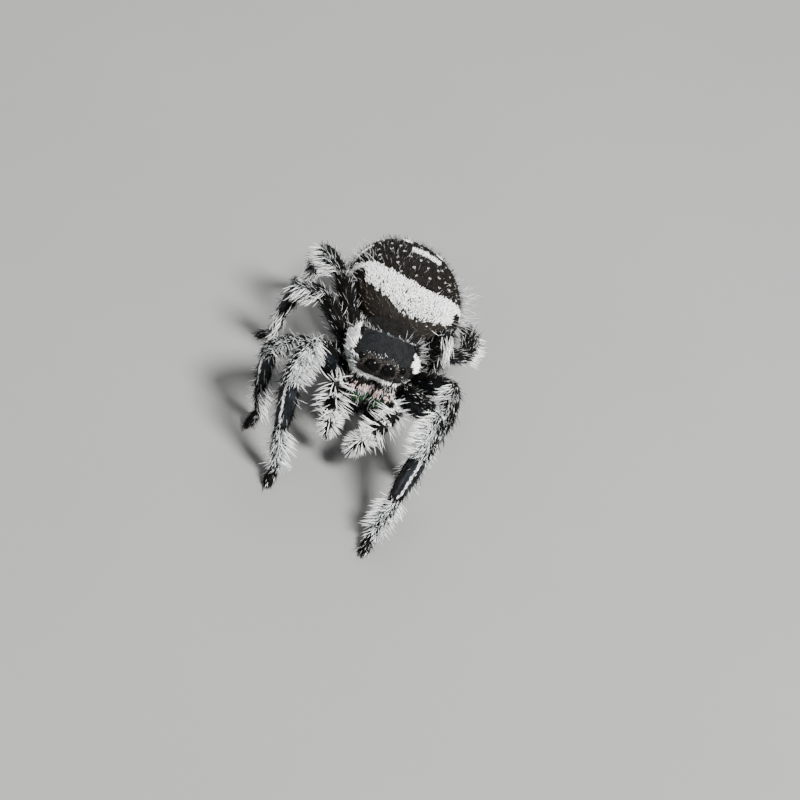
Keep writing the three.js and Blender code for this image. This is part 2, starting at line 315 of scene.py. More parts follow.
def bentToReach(knee, foot, lengths, up):
    # lays the outer segments from the knee to the foot, bent until the chain just reaches
    chord = foot - knee
    reach = np.linalg.norm(chord)

    def chain(bend):
        angles = np.concatenate([[0], -np.cumsum(legs["bends"]) * bend])
        steps = np.stack([np.cos(angles), np.sin(angles)], 1) * np.array(lengths)[:, None]
        return np.cumsum(steps, 0)

    low, high = 0.0, 2.0
    for _ in range(40):
        bend = (low + high) / 2
        if np.linalg.norm(chain(bend)[-1]) > reach:
            low = bend
        else:
            high = bend
    points = chain(low)
    turn = -math.atan2(points[-1][1], points[-1][0])
    forward = chord / reach
    rise = up - forward * up.dot(forward)
    rise /= np.linalg.norm(rise)
    cos, sin = math.cos(turn), math.sin(turn)
    return [knee + forward * (x * cos - y * sin) + rise * (x * sin + y * cos) for x, y in points]


def legJoints(number, side):
    ahead, lift, footOut, footY = legs[side][number]
    ahead, lift = math.radians(ahead), math.radians(lift)
    femur, *outer = legs["long"][number]
    sign = sides[side]
    start = np.array([sign * hip["out"][number], hip["y"][number], hip["z"]])
    reach = math.cos(lift) * femur
    out, forward = reach * math.cos(ahead), reach * math.sin(ahead)
    knee = start + np.array([sign * out, -forward, femur * math.sin(lift)])
    foot = np.array([sign * footOut, footY, legs["soleRise"]])
    up = mirrored(legs["upper"], sign)
    root = np.array([sign * hip["root"][0], hip["y"][number], hip["root"][1]])
    return [root, start, knee, *bentToReach(knee, foot, outer, up)], up


feet = []

for side, sign in sides.items():
    for number in range(4):
        joints, up = legJoints(number, side)
        stout = legs["stout"][number]
        for i, (segment, radii) in enumerate(legs["radii"].items()):
            wide = [radius * stout for radius in radii]
            tall = [radius * stout for radius in legs["tall"].get(segment, radii)]
            addLimb(segment, joints[i], joints[i + 1], up, wide, tall, legs["coat"],
                    side=side, leg=number, sign=sign)
        feet.append((joints[-2] + standAt, joints[-1] + standAt))

print("parts", len(parts))

skinShape = {"voxel": 0.088, "rounds": 5, "smooth": 0.5}  # one skin goes over all the flesh


def addObject(name, data):
    made = bpy.data.objects.new(name, data)
    bpy.context.scene.collection.objects.link(made)
    return made


def meshObject(name, points, faces):
    mesh = bpy.data.meshes.new(name)
    mesh.from_pydata([tuple(p) for p in points], [], faces)
    mesh.update()
    return addObject(name, mesh)


def joined(shapes):
    points, faces, start = [], [], 0
    for shapePoints, shapeFaces in shapes:
        points.append(shapePoints)
        faces += [tuple(v + start for v in face) for face in shapeFaces]
        start += len(shapePoints)
    return np.vstack(points), faces


def finished(obj):
    # a new mesh of what an object's modifiers make of it; the modifiers then go
    view = bpy.context.evaluated_depsgraph_get()
    mesh = bpy.data.meshes.new_from_object(
        obj.evaluated_get(view), preserve_all_data_layers=True, depsgraph=view)
    obj.modifiers.clear()
    return mesh


def makeSkin():
    skin = meshObject("skin", *joined([(part["points"], part["faces"]) for part in parts]))
    remesh = skin.modifiers.new("Union", "REMESH")
    remesh.mode = "VOXEL"
    remesh.voxel_size = skinShape["voxel"]
    smooth = skin.modifiers.new("Smooth", "SMOOTH")
    smooth.iterations, smooth.factor = skinShape["rounds"], skinShape["smooth"]
    rough = skin.data
    skin.data = finished(skin)
    bpy.data.meshes.remove(rough)
    for vertex in skin.data.vertices:  # the soles lie flat on the floor
        vertex.co.z = max(vertex.co.z, 0)
    skin.data.update()
    return skin


skin = makeSkin()
print("skin faces", len(skin.data.polygons))


# where each spot of the skin lies on its part
def vectorsOf(items, key):
    flat = np.empty(len(items) * 3, np.float32)
    items.foreach_get(key, flat)
    return flat.reshape(-1, 3).astype(float)


def findOwners(spots):
    # the number of the part that each spot of the skin came from
    tree = kdtree.KDTree(sum(len(part["points"]) for part in parts))
    for number, part in enumerate(parts):
        for point in part["points"]:
            tree.insert(point, number)
    tree.balance()
    return np.array([tree.find(spot)[1] for spot in spots])


def ramp(value, low, high):
    # 0 at low, 1 at high, with a soft start and end
    t = np.clip((value - low) / (high - low), 0, 1)
    return t * t * (3 - 2 * t)


def between(value, low, high, soft=0.05):
    return ramp(value, low - soft, low + soft) * (1 - ramp(value, high - soft, high + soft))


def mottle(size, seed):
    # soft noise over the skin, about -1 to 1, in patches of the given size
    shift = Vector((seed * 7.3, seed * 3.1, seed * 5.7))
    return np.array([noise.noise(Vector(spot) / size + shift) for spot in spots]) * 1.6


spots = vectorsOf(skin.data.vertices, "co")
outward = vectorsOf(skin.data.vertex_normals, "vector")
owner = findOwners(spots)


def ofPart(key, missing):
    return np.array([part.get(key, missing) for part in parts])[owner]


kinds, legNumber, segmentNumber = ofPart("kind", ""), ofPart("leg", -1), ofPart("segment", -1)
axesAt = np.array([part["axes"] for part in parts])[owner]
originAt = np.array([part["origin"] for part in parts])[owner]
acrossAt, alongAt = axesAt[:, :, 0], axesAt[:, :, 1]
local = np.einsum("ni,nij->nj", spots - originAt, axesAt)
x, y, z = local.T
share = y / ofPart("length", 1.0)  # 0 at a segment's root, 1 at its end
section = np.hypot(x, z) + 1e-6
sideways = x / section
top = z / section  # 1 on the upper line of a limb, -1 below
front = sideways * ofPart("sign", 1)  # 1 on the side of a leg that faces forwards
away = np.abs(x)
facing = -(outward * alongAt).sum(1)  # 1 where the head looks straight ahead
isHead, isBelly, isJaw, isPalp = (kinds == kind for kind in ("head", "belly", "jaw", "palp"))
isUnder = (kinds == "under") | (kinds == "coxa")
isSpinneret = kinds == "spinneret"
isLeg = legNumber >= 0
fine, broad = mottle(0.22, 1), mottle(0.7, 2)


# the abdomen's markings, in its own axes
marks = {
    "bandFront": (-3.83, 0.20), "bandBack": (-2.34, 0.18),  # along on the middle line, bend
    "bandEnd": 2.95, "bandSlip": 0.2, "stripWide": 0.5, "stripLow": -0.9,
    "barWide": 0.92, "bar": (0.5, 1.13),
    "dots": 46, "dotSpace": 0.44, "dotRadius": 0.085, "dotClear": (0.2, 0.25),  # clear of bar, of band
    "dotArea": [(-2.9, 2.9), (-1.9, 2.6)],  # across, along
    "pairs": [(1.1, 2.2, 0.26), (0.85, 3.1, 0.18)],  # out, along, radius
    "flanks": [(3.15, 0.9, 0.75, 0.24), (2.75, 2.3, 0.55, 0.18)],  # out, along, long, wide
}


def curve(start, bend):
    return start + bend * x * x


def bandShare():
    ragged = fine * 0.09
    back = curve(*marks["bandBack"]) + ragged
    aside = np.abs(x + marks["bandSlip"])
    narrow = ramp(aside, marks["bandEnd"] - 0.3, marks["bandEnd"])
    ahead = curve(*marks["bandFront"]) + ragged
    ahead += narrow * (back - marks["stripWide"] - ahead)
    return isBelly * between(y, ahead, back, 0.03) * ramp(z, marks["stripLow"], marks["stripLow"] + 0.3)


def spotShare():
    found = between(away, -1, marks["barWide"] + fine * 0.06, 0.04) * between(y, *marks["bar"]) * (z > 0)
    for out, at, radius in marks["pairs"]:
        reach = np.hypot(away - out, y - at) + fine * 0.05
        found = np.maximum(found, (1 - ramp(reach, radius - 0.05, radius + 0.05)) * (z > 0))
    for out, at, long, wide in marks["flanks"]:
        slant = (y - at - (z - 0.8) * 0.6) / wide
        reach = np.hypot(slant, (z - 0.8) / long) + fine * 0.2 + broad * 0.12
        found = np.maximum(found, (1 - ramp(reach, 0.75, 1.15)) * (away > out * 0.7))
    return isBelly * found


def dotShare():
    # small white dots scattered behind the band, no two too close
    dice = np.random.default_rng(5)
    found = np.zeros(len(spots))
    chosen = []
    fromBar, fromBand = marks["dotClear"]
    barFront, barBack = marks["bar"]
    bandMiddle, bandBend = marks["bandBack"]
    while len(chosen) < marks["dots"]:
        out, at = [dice.uniform(*ends) for ends in marks["dotArea"]]
        inBar = abs(out) < marks["barWide"] + fromBar and barFront - fromBar < at < barBack + fromBar
        ahead = at < bandMiddle + bandBend * out * out + fromBand
        crowded = any(math.hypot(out - p, at - q) < marks["dotSpace"] for p, q in chosen)
        if not (inBar or ahead or crowded):
            chosen.append((out, at))
            reach = np.hypot(x - out, y - at)
            found = np.maximum(found, 1 - ramp(reach, marks["dotRadius"] * 0.3, marks["dotRadius"]))
    return isBelly * found ** 2 * (z > 0.3)


def legWhite():
    speckle = ramp(fine, -0.3, 0.5)
    inner = ramp(front * 0.9 + top * 0.4, 0.15, 0.55)
    byKind = {
        "coxa": 0.1 * speckle,
        "femur": 0.1 * ramp(top, 0.0, 0.6) * speckle + 0.5 * ramp(share, 0.8, 0.97) * ramp(top, -0.3, 0.4),
        "patella": 0.1 + inner * (0.3 + 0.7 * ramp(share, 0.1, 0.35)) * (0.75 + 0.2 * speckle),
        "tibia": 0.6 * (1 - ramp(share, 0.02, 0.1)) + 0.4 * ramp(share, 0.93, 0.98),
        "metatarsus": (0.55 + 0.3 * speckle) * (0.3 + 0.7 * inner) * (1 - ramp(share, 0.85, 1.0)),
        "tarsus": 0.6 - 0.55 * ramp(share, 0.15, 0.4),
    }
    found = np.zeros(len(spots))
    for kind, value in byKind.items():
        found = np.where(kinds == kind, value, found)
    return found * np.where(legNumber == 0, 1, 0.6)


def bareShare():
    femurFace = ramp(front, 0.2, 0.45) * (1 - ramp(top, 0.4, 0.65)) * between(share, 0.05, 0.9)
    tibia = between(share, 0.1, 0.92, 0.04) * ramp(top, -0.35, 0.0)
    return (kinds == "femur") * femurFace + (kinds == "tibia") * tibia


band, spotMarks, dots = bandShare(), spotShare(), dotShare()
smoothLine = curve(*marks["bandFront"])
smoothFront = isBelly * (1 - ramp(y, smoothLine - 0.1, smoothLine + 0.1))

# the head's markings, in its own axes; where a pair goes by side, its right is first
face = {
    "crownFront": -2.45, "crownHalf": 1.46, "rearLine": (-0.82, 0.17),
    "patchFront": -1.75, "patchBack": (-0.4, -0.98), "patchHeight": (-0.22, 0.52),
    "lip": (-0.96, -0.68), "lipSag": (0.3, 0.8), "lipEnd": (1.85, 1.62), "lipWide": 1.75,
    "cheek": (-0.72, 0.16), "cheekFull": (1, 0.25),
    "height": (-0.62, 0.5), "ring": (0.4, 0.54), "clear": {"main": 0.47, "side": 0.27},
}


def bySide(key):
    return np.where(x < 0, *face[key])


def fromEye(kind):
    out, _, up = eyes[kind]["at"]
    return np.hypot(away - out, z - up)


rearLine = curve(*face["rearLine"])
crownEdge = face["crownHalf"]
crown = isHead * between(y, face["crownFront"], rearLine) * ramp(z, 0.2, 0.35)
crown *= 1 - ramp(away, crownEdge, crownEdge + 0.1)
patchAhead, patchBack = face["patchFront"] + fine * 0.1, bySide("patchBack") + fine * 0.14
headPatch = isHead * between(y, patchAhead, patchBack, 0.06)
headPatch *= ramp(away, crownEdge + 0.06, crownEdge + 0.14)
headPatch *= between(z + fine * 0.08, *face["patchHeight"], 0.06) * ramp(fine, -0.75, -0.35)
sunk = z + bySide("lipSag") * (away / face["lipWide"]) ** 4
lipLow, lipHigh = face["lip"]
moustache = isHead * ramp(-y, 1.3, 1.7) * (1 - ramp(away, bySide("lipEnd"), bySide("lipEnd") + 0.15))
moustache *= between(sunk, lipLow, lipHigh + fine * 0.03, 0.03)
cheek = isHead * ramp(-y, 1.0, 1.4) * ramp(away, 1.1, 1.4) * between(sunk, *face["cheek"], 0.08)
cheek *= bySide("cheekFull")
faceFur = isHead * ramp(facing, 0.3, 0.55) * between(z, *face["height"])
faceFur *= (1 - ramp(away, 1.5, 1.7)) * (1 - crown * 0.7)
eyeRing = isHead * ramp(facing, 0.2, 0.5) * between(fromEye("main"), *face["ring"], 0.03)
clearOfEyes = (fromEye("main") > face["clear"]["main"]) * (fromEye("side") > face["clear"]["side"])
brow = isHead * between(y, -2.55, -2.1, 0.12) * (1 - ramp(away, 1.3, 1.6)) * (z > 0.25)
brow *= ramp(fine, -0.2, 0.6)
rearHair = isHead * between(y, rearLine - 0.03, rearLine + 0.03, 0.02) * (away < 1.6) * (z > 0.3)
eyeTuft = isHead * np.exp(-(((away - 1.85) / 0.35) ** 2 + ((y + 0.5) / 0.7) ** 2)) * (z > -0.2)
eyeTuft += isHead * between(y, rearLine, rearLine + 0.3) * ramp(away, 0.4, 1.3) * (z > 0.1) * 0.8

# the markings of legs, palps and jaws, and a painted highlight along each tibia
whiteLeg, bare = legWhite(), bareShare()
# a painted highlight: a thin line of pale skin and white scales along the top of each bare, glossy tibia,
# where a light's glint runs along it
tibiaHighlight = (kinds == "tibia") * between(sideways, -0.08, 0.08, 0.04) * (top > 0)
tibiaHighlight = tibiaHighlight * between(share, 0.1, 0.93, 0.03)
palpEnd = isPalp & (segmentNumber == 3)
palpWhite = isPalp * np.where(palpEnd, 1, 0.5 + 0.2 * ramp(fine, -0.3, 0.3)) * ramp(top, -0.95, -0.3)
palpKnot = np.where(palpEnd, between(share, 0.0, 0.25), between(share, 0.8, 1.1))
palpKnot = isPalp * ramp(top, 0.5, 0.8) * palpKnot
jawScales = isJaw * ramp(top, -0.1, 0.4) * between(share, 0.2, 0.5, 0.06) * ramp(fine, -0.15, 0.35)
jawRoot = isJaw * (1 - ramp(share, 0.25, 0.4)) * 0.9
fromMiddle = np.abs(spots[:, 0] - standAt[0])
jawGreen = isJaw * ramp(share + fine * 0.12, 0.42, 0.6) * ramp(top, -0.2, 0.5)
jawGreen *= 1 - ramp(fromMiddle + fine * 0.15, 0.7, 1.15)

# the skin's pale paint, which also carries the tibia's painted highlight
pale = band * 0.1 + spotMarks * 0.5 + dots * 0.6 + headPatch * 0.4 + moustache + cheek * 0.35 + tibiaHighlight
pale = np.clip(pale + palpKnot + rearHair * 0.3, 0, 1)
greyUnder = isUnder + isSpinneret * 0.2 + isBelly * ramp(-outward[:, 2], 0.1, 0.6) + smoothFront * 0.13
greyUnder = np.clip(greyUnder, 0, 1)
print("markings")


hairShapes = {  # rings are (height, half width), from the root
    "fur": {"rings": [(0.0, 1.0)], "droop": 0.0},
    "scale": {"rings": [(0.0, 0.4), (0.55, 1.0)], "droop": 0.08, "sides": 4, "flat": 0.35},
    "bristle": {"rings": [(0.0, 1.0), (0.4, 0.85), (0.75, 0.5)], "droop": 0.25},
    "lock": {"rings": [(0.0, 0.7), (0.45, 1.0)], "droop": 0.16},
}


def makeHair(name, slim, rings, droop, sides=3, flat=1.0):
    # one hair a unit long, up the Z axis, bowed towards -X
    points, faces = [], [tuple(reversed(range(sides)))]
    for height, half in rings:
        for k in range(sides):
            turn = k / sides * 2 * math.pi
            bow = -droop * height ** 2
            points.append((math.cos(turn) * half * slim * flat + bow, math.sin(turn) * half * slim, height))
    points.append((-droop, 0, 1))
    for a, b in ringEdges(len(rings) - 1, sides):
        faces += [(a, b, b + sides), (a, b + sides, a + sides)]
    last = (len(rings) - 1) * sides
    faces += [(last + a, last + b, len(points) - 1) for a, b in ringEdges(1, sides)]
    hair = meshObject(name, points, faces)
    layer = hair.data.uv_layers.new(name="hairMap")
    for loop in hair.data.loops:
        _, py, pz = points[loop.vertex_index]
        layer.data[loop.index].uv = (0.5 + py / slim * 0.5, pz)
    return hair


def operator(operation, flipped=False):
    # an operator of Wire that adds a Math node
    def combine(wire, other):
        terms = [other, wire] if flipped else [wire, other]
        return wire.sketch.add("ShaderNodeMath", dict(enumerate(terms)), operation=operation)
    return combine


class Wire:
    # a socket that takes part in sums
    def __init__(self, sketch, socket):
        self.sketch, self.socket = sketch, socket

    __add__ = __radd__ = operator("ADD")
    __mul__ = __rmul__ = operator("MULTIPLY")
    __sub__, __rsub__ = operator("SUBTRACT"), operator("SUBTRACT", flipped=True)

    def above(self, low, high):
        # 0 at low, 1 at high
        values = {0: self, 1: low, 2: high, 3: 0.0, 4: 1.0}
        return self.sketch.add("ShaderNodeMapRange", values, interpolation_type="SMOOTHSTEP")


class Sketch:
    # a node tree: add() takes a node's type, its sockets' values or links, and its settings
    def __init__(self, tree):
        self.tree = tree

    def add(self, kind, sockets=None, out=(), **settings):
        node = self.tree.nodes.new(kind)
        for key, value in settings.items():
            setattr(node, key, value)
        for key, value in (sockets or {}).items():
            if isinstance(key, int):
                socket = node.inputs[key]
            else:
                socket = next(s for s in node.inputs if s.name == key and s.enabled)
            if isinstance(value, Wire):
                self.tree.links.new(value.socket, socket)
            else:
                socket.default_value = value
        wires = [Wire(self, s) for s in node.outputs if s.enabled]
        if out:
            return [next(wire for wire in wires if wire.socket.name == name) for name in out]
        return wires[0] if wires else None

    def vector(self, operation, *terms):
        return self.add("ShaderNodeVectorMath", dict(enumerate(terms)), operation=operation)

    def scaled(self, vector, factor):
        return self.add("ShaderNodeVectorMath", {"Vector": vector, "Scale": factor}, operation="SCALE")


def makeCoatTree():
    # grows hairs on a skin that carries share, reach, comb and coatMap
    tree = bpy.data.node_groups.new("Coat", "GeometryNodeTree")
    inputs = {
        "Skin": "Geometry", "Hair": "Object", "Per Area": "Float", "Length": "Float", "Uneven": "Float",
        "Lift": "Float", "Stray": "Float", "Patch": "Float", "Lowest": "Vector", "Seed": "Int",
        "Finish": "Material",
    }
    for label, kind in inputs.items():
        tree.interface.new_socket(label, in_out="INPUT", socket_type="NodeSocket" + kind)
    tree.interface.new_socket("Coat", in_out="OUTPUT", socket_type="NodeSocketGeometry")
    sketch = Sketch(tree)
    given = dict(zip(inputs, sketch.add("NodeGroupInput", out=inputs)))

    def named(label, kind="FLOAT"):
        return sketch.add("GeometryNodeInputNamedAttribute", {"Name": label}, data_type=kind)

    def dice(shift, kind="FLOAT", **ends):
        sockets = {"Seed": given["Seed"] + shift, **ends}
        return sketch.add("FunctionNodeRandomValue", sockets, data_type=kind)

    def stored(geometry, label, value, kind, domain):
        sockets = {"Geometry": geometry, "Name": label, "Value": value}
        return sketch.add("GeometryNodeStoreNamedAttribute", sockets, data_type=kind, domain=domain)

    points, normal = sketch.add(
        "GeometryNodeDistributePointsOnFaces",
        {"Mesh": given["Skin"], "Density": named("share") * given["Per Area"], "Seed": given["Seed"]},
        ["Points", "Normal"], distribute_method="RANDOM")
    stray = dice(1, "FLOAT_VECTOR", Min=(-1, -1, -1), Max=(1, 1, 1))
    direction = sketch.vector("ADD", named("comb", "FLOAT_VECTOR"), sketch.scaled(normal, given["Lift"]))
    direction = sketch.vector("ADD", direction, sketch.scaled(stray, given["Stray"]))
    turned = sketch.add(
        "FunctionNodeAxesToRotation", {"Primary Axis": direction, "Secondary Axis": normal},
        primary_axis="Z", secondary_axis="X")
    grown = dice(2, Min=1 - given["Uneven"], Max=1 + given["Uneven"])
    hair = sketch.add("GeometryNodeObjectInfo", {"Object": given["Hair"]}, ["Geometry"])[0]
    size = grown * named("reach") * given["Length"]
    placed = sketch.add(
        "GeometryNodeInstanceOnPoints",
        {"Points": points, "Instance": hair, "Rotation": turned, "Scale": size})
    placed = stored(placed, "tone", dice(3), "FLOAT", "INSTANCE")
    coat = sketch.add("GeometryNodeRealizeInstances", {"Geometry": placed})
    above = sketch.vector("MAXIMUM", sketch.add("GeometryNodeInputPosition"), given["Lowest"])
    coat = sketch.add("GeometryNodeSetPosition", {"Geometry": coat, "Position": above})
    onHair = sketch.vector("SUBTRACT", named("hairMap", "FLOAT_VECTOR"), (0.5, 0.5, 0))
    patch = sketch.vector("ADD", named("coatMap", "FLOAT_VECTOR"), sketch.scaled(onHair, given["Patch"]))
    coat = stored(coat, "OFBake", patch, "FLOAT2", "CORNER")
    coat = sketch.add("GeometryNodeSetMaterial", {"Geometry": coat, "Material": given["Finish"]})
    sketch.add("NodeGroupOutput", {"Coat": coat})
    return tree


def setValues(mesh, name, values):
    kind, key = ("FLOAT", "value") if values.ndim == 1 else ("FLOAT_VECTOR", "vector")
    layer = mesh.attributes.get(name) or mesh.attributes.new(name, kind, "POINT")
    layer.data.foreach_set(key, values.astype(np.float32).ravel())


def unwrapSkin():
    bpy.context.view_layer.objects.active = skin
    skin.select_set(True)
    skin.data.uv_layers.new(name="coatMap")
    bpy.ops.object.mode_set(mode="EDIT")
    bpy.ops.mesh.select_all(action="SELECT")
    bpy.ops.uv.smart_project(angle_limit=math.radians(66), island_margin=0.001)
    bpy.ops.object.mode_set(mode="OBJECT")
    skin.select_set(False)


unwrapSkin()
coatTree = makeCoatTree()
socketOf = {item.name: item.identifier for item in coatTree.interface.items_tree if item.in_out == "INPUT"}
ground = addObject("ground", skin.data.copy())
skin.data.uv_layers["coatMap"].name = "OFBake"
pieces = []  # object, material slot, nodes it replaces


def tangent(vectors):
    # the part of each vector that lies in the skin
    flat = vectors - outward * (vectors * outward).sum(1)[:, None]
    return flat / (np.linalg.norm(flat, axis=1)[:, None] + 1e-6)


down = np.array([0.0, 0.0, -1.0])
nearEye = np.tile(eyes["main"]["at"], (len(spots), 1))
nearEye[:, 0] *= np.where(x < 0, -1, 1)
sway = np.stack([mottle(0.45, seed) for seed in (11, 12, 13)], 1)
backwards = tangent(alongAt + sway * 0.22)
fan = alongAt * 0.3 + acrossAt * sideways[:, None]
tuftCentre = originAt + alongAt * 0.3 * ofPart("length", 1.0)[:, None] + axesAt[:, :, 2] * 0.45
fan = np.where(palpEnd[:, None], tangent(spots - tuftCentre), fan)
combs = {
    "back": backwards,
    "fan": fan,
    "hang": tangent(np.where(isJaw[:, None], alongAt, down - alongAt * 0.6)),
    "ring": tangent(spots - standAt - fromHead(nearEye)),
    "upright": outward,
    "straight": alongAt,
}


coatRules = {
    "patch": 0.003,  # width of a hair on the bake map
    "lowest": (-1000, -1000, 0.004),  # keeps the hairs above the floor
    "soles": (0.06, 0.2),  # bare up to the first height, full coat from the second
}
clearOfFloor = ramp(spots[:, 2], *coatRules["soles"])


def growCoat(name, seed, hair, finish, share, perArea, length, thick, lift, stray,
             comb="back", reach=1.0, uneven=0.3):
    single = makeHair(name + "Hair", thick / 2 / length, **hairShapes[hair])
    setValues(ground.data, "share", share * clearOfFloor)
    setValues(ground.data, "reach", np.ones(len(spots)) * reach)
    setValues(ground.data, "comb", combs[comb])
    modifier = ground.modifiers.new(name, "NODES")
    modifier.node_group = coatTree
    values = {
        "Hair": single, "Per Area": float(perArea), "Length": float(length), "Uneven": uneven, "Lift": lift,
        "Stray": stray, "Patch": coatRules["patch"], "Lowest": coatRules["lowest"], "Seed": seed * 10,
        "Finish": finishes[finish],
    }
    for label, value in values.items():
        modifier[socketOf[label]] = value
    mesh = finished(ground)
    bpy.data.objects.remove(single)
    for spent in ("share", "reach", "comb", "coatMap", "hairMap"):
        if spent in mesh.attributes:
            mesh.attributes.remove(mesh.attributes[spent])
    mesh.name = name
    pieces.append((addObject(name, mesh), hairColours[finish][0], []))
    print(name, "triangles", sum(len(face.vertices) - 2 for face in mesh.polygons))


def makeMaterial(name, fixed, build):
    # fixed: values that are the same all over; build(sketch) gives the sockets that vary
    material = bpy.data.materials.new(name)
    material.use_nodes = True
    material.node_tree.nodes.clear()
    sketch = Sketch(material.node_tree)
    shader = sketch.add("ShaderNodeBsdfPrincipled", {**fixed, **build(sketch)})
    sketch.add("ShaderNodeOutputMaterial", {"Surface": shader})
    return material


def mixed(sketch, factor, first, second):
    return sketch.add("ShaderNodeMix", {"Factor": factor, "A": first, "B": second}, data_type="RGBA")


def attribute(sketch, name):
    return sketch.add("ShaderNodeAttribute", out=["Fac"], attribute_name=name)[0]


def grain(sketch, scale, detail=2.0):
    place = sketch.add("ShaderNodeTexCoord", out=["Object"])[0]
    sockets = {"Vector": place, "Scale": scale, "Detail": detail}
    return sketch.add("ShaderNodeTexNoise", sockets, ["Fac"])[0]


def skinLook(sketch):
    furrows = grain(sketch, 9000, 3)
    blotches = grain(sketch, 2500)
    bare = attribute(sketch, "bare")
    green = attribute(sketch, "green")
    black = mixed(sketch, blotches.above(0.35, 0.7), (0.002, 0.002, 0.002, 1), (0.009, 0.008, 0.007, 1))
    bareBlack = mixed(sketch, blotches.above(0.4, 0.7), (0.003, 0.004, 0.005, 1), (0.009, 0.011, 0.014, 1))
    colour = mixed(sketch, bare, black, bareBlack)
    white = attribute(sketch, "pale") * furrows.above(0.35, 0.6)
    colour = mixed(sketch, white, colour, (0.5, 0.5, 0.49, 1))
    colour = mixed(sketch, attribute(sketch, "grey") * 0.6, colour, (0.09, 0.075, 0.06, 1))
    flakes = mixed(sketch, furrows.above(0.42, 0.6), (0.001, 0.003, 0.002, 1), (0.012, 0.055, 0.018, 1))
    colour = mixed(sketch, green, colour, flakes)
    relief = {"Height": furrows, "Strength": 0.5, "Distance": 0.00003}
    return {
        "Base Color": colour, "Roughness": 0.6 - bare * 0.2 - green * 0.15 + furrows * 0.1,
        "Metallic": green * 0.5, "Coat Weight": bare * 0.22 + attribute(sketch, "jaw") * 0.2,
        "Normal": sketch.add("ShaderNodeBump", relief),
    }


def hairLook(root, tip, spread):
    # darker at the root, and each hair a little lighter or darker than the next
    def build(sketch):
        tone = attribute(sketch, "tone")
        colour = mixed(sketch, tone * spread, (*tip, 1), (*root, 1))
        return {"Base Color": colour, "Roughness": 0.42 + tone * 0.25}
    return build


plain = {"IOR": 1.5}
dull, glass = {**plain, "Specular IOR Level": 0.06}, {**plain, "Specular IOR Level": 0.05}
hairColours = {  # slot, material, shine, root, tip, and how much hairs differ
    "white": ("coat_white", "whiteHair", plain, (0.42, 0.42, 0.42), (0.97, 0.97, 0.95), 0.6),
    "frost": ("coat_white", "frostHair", plain, (0.4, 0.425, 0.42), (0.92, 0.97, 0.955), 0.6),
    "pale": ("coat_white", "paleHair", plain, (0.16, 0.16, 0.16), (0.6, 0.61, 0.6), 0.8),
    "ring": ("underside", "ringHair", dull, (0.012, 0.01, 0.009), (0.066, 0.057, 0.051), 0.7),
    "silver": ("coat_white", "silverHair", plain, (0.23, 0.245, 0.245), (0.62, 0.65, 0.64), 0.8),
    "sable": ("coat_black", "sableHair", dull, (0.0015, 0.001, 0.001), (0.018, 0.014, 0.01), 0.9),
    "black": ("coat_black", "blackHair", dull, (0.001, 0.001, 0.001), (0.007, 0.0062, 0.0055), 0.9),
    "brown": ("underside", "brownHair", dull, (0.02, 0.016, 0.013), (0.12, 0.1, 0.085), 0.8),
    "taupe": ("underside", "faceHair", dull, (0.006, 0.005, 0.005), (0.033, 0.029, 0.026), 0.85),
    "pink": ("coat_white", "pinkScale", plain, (0.4, 0.22, 0.2), (0.9, 0.7, 0.66), 0.8),
    "green": ("coat_black", "greenScale", dull, (0.002, 0.005, 0.003), (0.024, 0.075, 0.026), 0.9),
    "blue": ("coat_black", "blueScale", dull, (0.002, 0.003, 0.0035), (0.0115, 0.0145, 0.017), 0.9),
}
finishes = {"skin": makeMaterial("blackCuticle", {**dull, "Coat Roughness": 0.3}, skinLook)}
for key, (_, label, shine, root, tip, spread) in hairColours.items():
    finishes[key] = makeMaterial(label, shine, hairLook(root, tip, spread))


def cloudyLook(scale, dark, light, smoothest, rougher):
    def build(sketch):
        cloud = grain(sketch, scale)
        return {"Base Color": mixed(sketch, cloud, (*dark, 1), (*light, 1)),
                "Roughness": cloud * rougher + smoothest}
    return build


finishes["eye"] = makeMaterial(
    "eyeLens", glass, cloudyLook(1500, (0.0015, 0.0015, 0.0015), (0.0035, 0.003, 0.003), 0.07, 0.03))
finishes["horn"] = makeMaterial(
    "horn", plain, cloudyLook(4000, (0.012, 0.006, 0.004), (0.04, 0.018, 0.01), 0.2, 0.1))

painted = {"pale": pale, "bare": bare, "grey": greyUnder, "green": jawGreen, "jaw": isJaw}
for name, values in painted.items():
    setValues(skin.data, name, np.asarray(values, float))
skin.data.materials.append(finishes["skin"])
